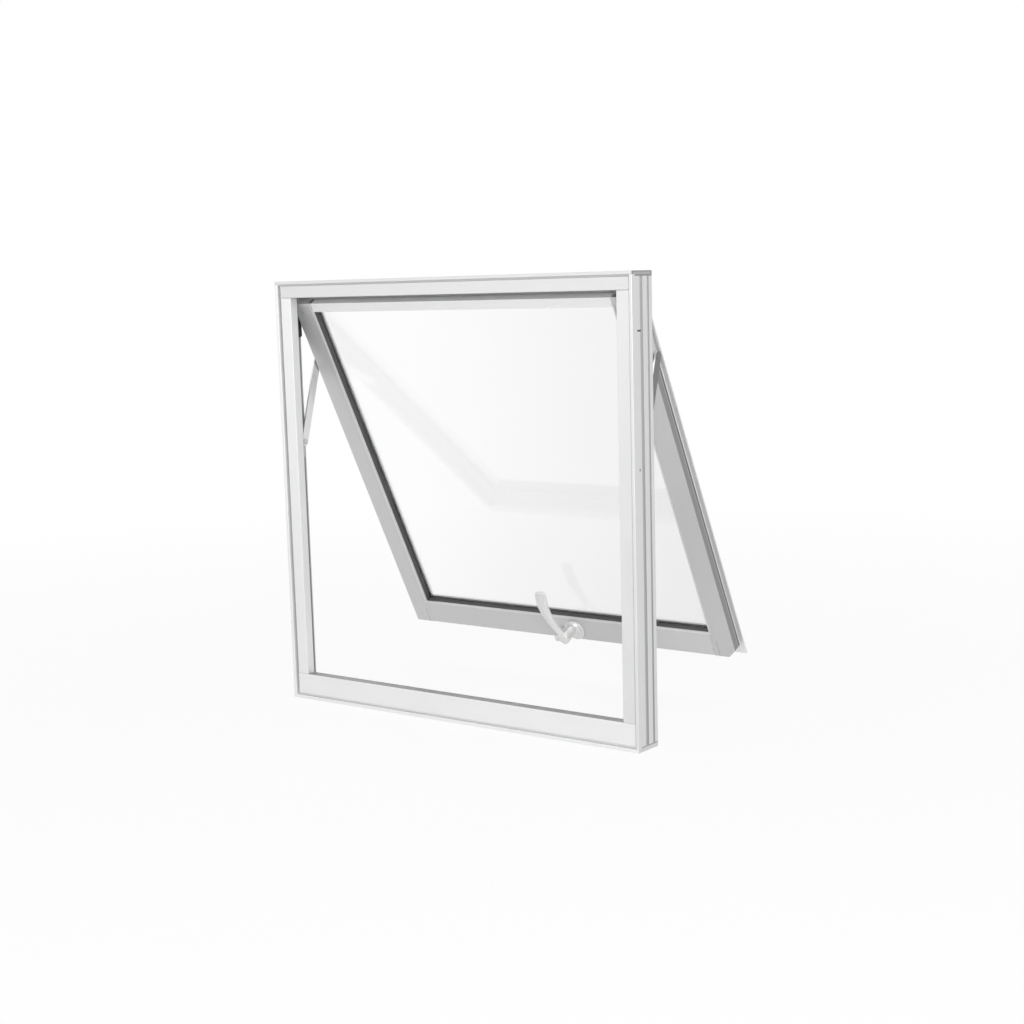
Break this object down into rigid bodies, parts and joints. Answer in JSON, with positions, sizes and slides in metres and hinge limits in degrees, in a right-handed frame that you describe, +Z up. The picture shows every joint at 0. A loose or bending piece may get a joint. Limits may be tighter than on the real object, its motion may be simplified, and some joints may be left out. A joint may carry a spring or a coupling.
{
  "type": "top hung awning window",
  "caption": "Square aluminium window whose sash hangs from its top edge and swings outwards on two side stay arms and sliding shoes, with a lever handle on the bottom rail.",
  "frame": {"origin": "centre of the sill's flat underside, half way between the room side and the outside of the frame", "axes": "+X to the right seen from the room, +Y towards the outside where the sash swings, +Z up"},
  "size_m": [0.6, 0.2904, 0.6],
  "materials": {
    "frame_metal": "satin natural anodised",
    "sash_metal": "satin natural anodised",
    "stay_metal": "brushed stainless",
    "handle_metal": "light grey powder coat",
    "shoe_plastic": "black nylon",
    "glazing_rubber": "black rubber",
    "seal_rubber": "dark grey rubber",
    "glass": "clear float glass"
  },
  "bodies": {
    "frame": {"left_jamb": "frame_metal", "right_jamb": "frame_metal", "head": "frame_metal", "sill": "frame_metal", "left_track": "frame_metal", "right_track": "frame_metal", "left_arm_bracket": "stay_metal", "right_arm_bracket": "stay_metal", "head_seal": "seal_rubber", "left_jamb_seal": "seal_rubber", "right_jamb_seal": "seal_rubber", "sill_seal": "seal_rubber"},
    "stay_arms": {"left_stay_arm": "stay_metal", "right_stay_arm": "stay_metal"},
    "sash": {"sash_top_rail": "sash_metal", "sash_bottom_rail": "sash_metal", "sash_left_stile": "sash_metal", "sash_right_stile": "sash_metal", "top_bead": "sash_metal", "bottom_bead": "sash_metal", "left_bead": "sash_metal", "right_bead": "sash_metal", "glass_pane": "glass", "top_gasket": "glazing_rubber", "bottom_gasket": "glazing_rubber", "left_gasket": "glazing_rubber", "right_gasket": "glazing_rubber", "top_outer_gasket": "glazing_rubber", "bottom_outer_gasket": "glazing_rubber", "left_outer_gasket": "glazing_rubber", "right_outer_gasket": "glazing_rubber", "left_pivot_plate": "stay_metal", "right_pivot_plate": "stay_metal", "handle_base": "handle_metal", "rail_screw": "stay_metal"},
    "track_shoes": {"left_shoe": "shoe_plastic", "right_shoe": "shoe_plastic"},
    "handle": {"handle_lever": "handle_metal"}
  },
  "joints": [
    {"name": "stay_swing", "type": "hinge", "parent": "frame", "child": "stay_arms", "pos_m": [0, 0.0135, 0.37197], "axis": [-1, 0, 0], "range_deg": [-16.2, 5.21]},
    {"name": "sash_swing", "type": "hinge", "parent": "stay_arms", "child": "sash", "pos_m": [0, 0.04899, 0.49412], "axis": [1, 0, 0], "range_deg": [-42.7, 13.7]},
    {"name": "shoe_turn", "type": "hinge", "parent": "sash", "child": "track_shoes", "pos_m": [0, 0.0135, 0.56529], "axis": [-1, 0, 0], "range_deg": [-26.51, 8.51]},
    {"name": "handle_turn", "type": "hinge", "parent": "sash", "child": "handle", "pos_m": [0.0205, 0.23173, 0.08724], "axis": [0, -0.8949, -0.4462], "range_deg": [-77, 0]}
  ],
  "couplings": [
    {"joint": "stay_swing", "follows": "sash_swing", "ratio": 0.37939},
    {"joint": "shoe_turn", "follows": "sash_swing", "ratio": 0.62061}
  ]
}
